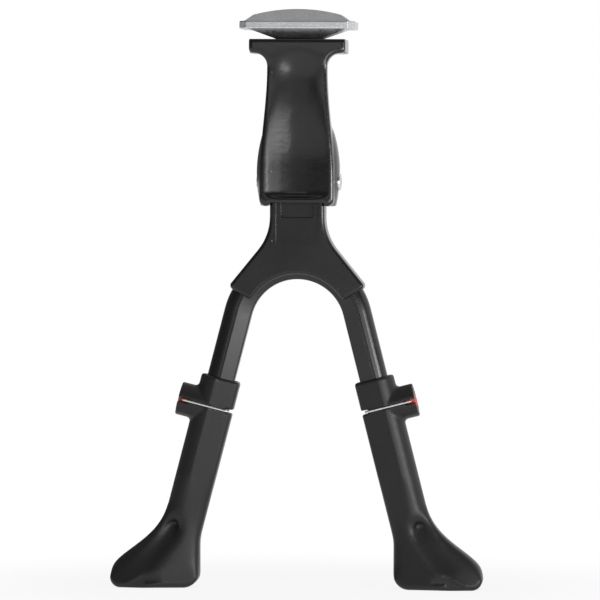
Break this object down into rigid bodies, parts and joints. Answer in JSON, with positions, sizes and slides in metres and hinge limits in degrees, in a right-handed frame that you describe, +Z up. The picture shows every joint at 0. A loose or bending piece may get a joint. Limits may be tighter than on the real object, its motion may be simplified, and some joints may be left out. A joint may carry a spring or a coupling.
{
  "type": "bicycle kickstand",
  "caption": "Two-leg bicycle kickstand that clamps under the chain stays, folds at a pivot, and has sliding feet locked by push buttons.",
  "frame": {"origin": "centre of the bracket's top face, on the clamp bolt's axis", "axes": "+Z up, +X to the right seen from the front, +Y to the back, where the legs fold to"},
  "size_m": [0.2126, 0.04, 0.33],
  "materials": {
    "cast_silver": "bare cast",
    "steel": "zinc plated",
    "black_cast": "black powder coat, satin",
    "dark_washer": "black oxide",
    "bush_plastic": "moulded",
    "spring_wire": "drawn wire",
    "black_bar": "black coated extrusion",
    "black_plastic": "moulded, fine grain",
    "red_plastic": "moulded"
  },
  "bodies": {
    "bracket": {"bracket": "black_cast", "pivot_bolt": "steel", "pivot_washer": "dark_washer", "detent_spring": "spring_wire"},
    "clamp": {"top_clamp_plate": "cast_silver", "clamp_washer": "steel", "clamp_bolt": "steel"},
    "detent": {"detent_plunger": "steel"},
    "fork": {"yoke": "black_cast", "leg_arch": "black_bar", "arch_screws": "steel", "pivot_bush_right": "bush_plastic", "pivot_bush_left": "bush_plastic"},
    "foot_left": {"foot_left": "black_plastic", "button_spring_left": "spring_wire"},
    "lock_left": {"lock_button_left": "red_plastic", "lock_wire_left": "spring_wire"},
    "foot_right": {"foot_right": "black_plastic", "button_spring_right": "spring_wire"},
    "lock_right": {"lock_button_right": "red_plastic", "lock_wire_right": "spring_wire"}
  },
  "joints": [
    {"name": "fork_fold", "type": "hinge", "parent": "bracket", "child": "fork", "pos_m": [0, 0, -0.0809], "axis": [1, 0, 0], "range_deg": [0, 95]},
    {"name": "clamp_slide", "type": "slide", "parent": "bracket", "child": "clamp", "axis": [0, 0, 1], "range_m": [0, 0.02]},
    {"name": "detent_press", "type": "slide", "parent": "bracket", "child": "detent", "axis": [0, 0, 1], "range_m": [0, 0.002], "stiffness_N_per_m": 4000, "springref_m": -0.003, "deforming": ["detent_spring"]},
    {"name": "foot_slide_left", "type": "slide", "parent": "fork", "child": "foot_left", "axis": [-0.2478, 0, -0.9688], "range_m": [0, 0.03]},
    {"name": "button_press_left", "type": "slide", "parent": "foot_left", "child": "lock_left", "axis": [0.9688, 0, -0.2478], "range_m": [0, 0.0025], "stiffness_N_per_m": 1500, "springref_m": -0.001, "deforming": ["button_spring_left"]},
    {"name": "foot_slide_right", "type": "slide", "parent": "fork", "child": "foot_right", "axis": [0.2478, 0, -0.9688], "range_m": [0, 0.03]},
    {"name": "button_press_right", "type": "slide", "parent": "foot_right", "child": "lock_right", "axis": [-0.9688, 0, -0.2478], "range_m": [0, 0.0025], "stiffness_N_per_m": 1500, "springref_m": -0.001, "deforming": ["button_spring_right"]}
  ]
}
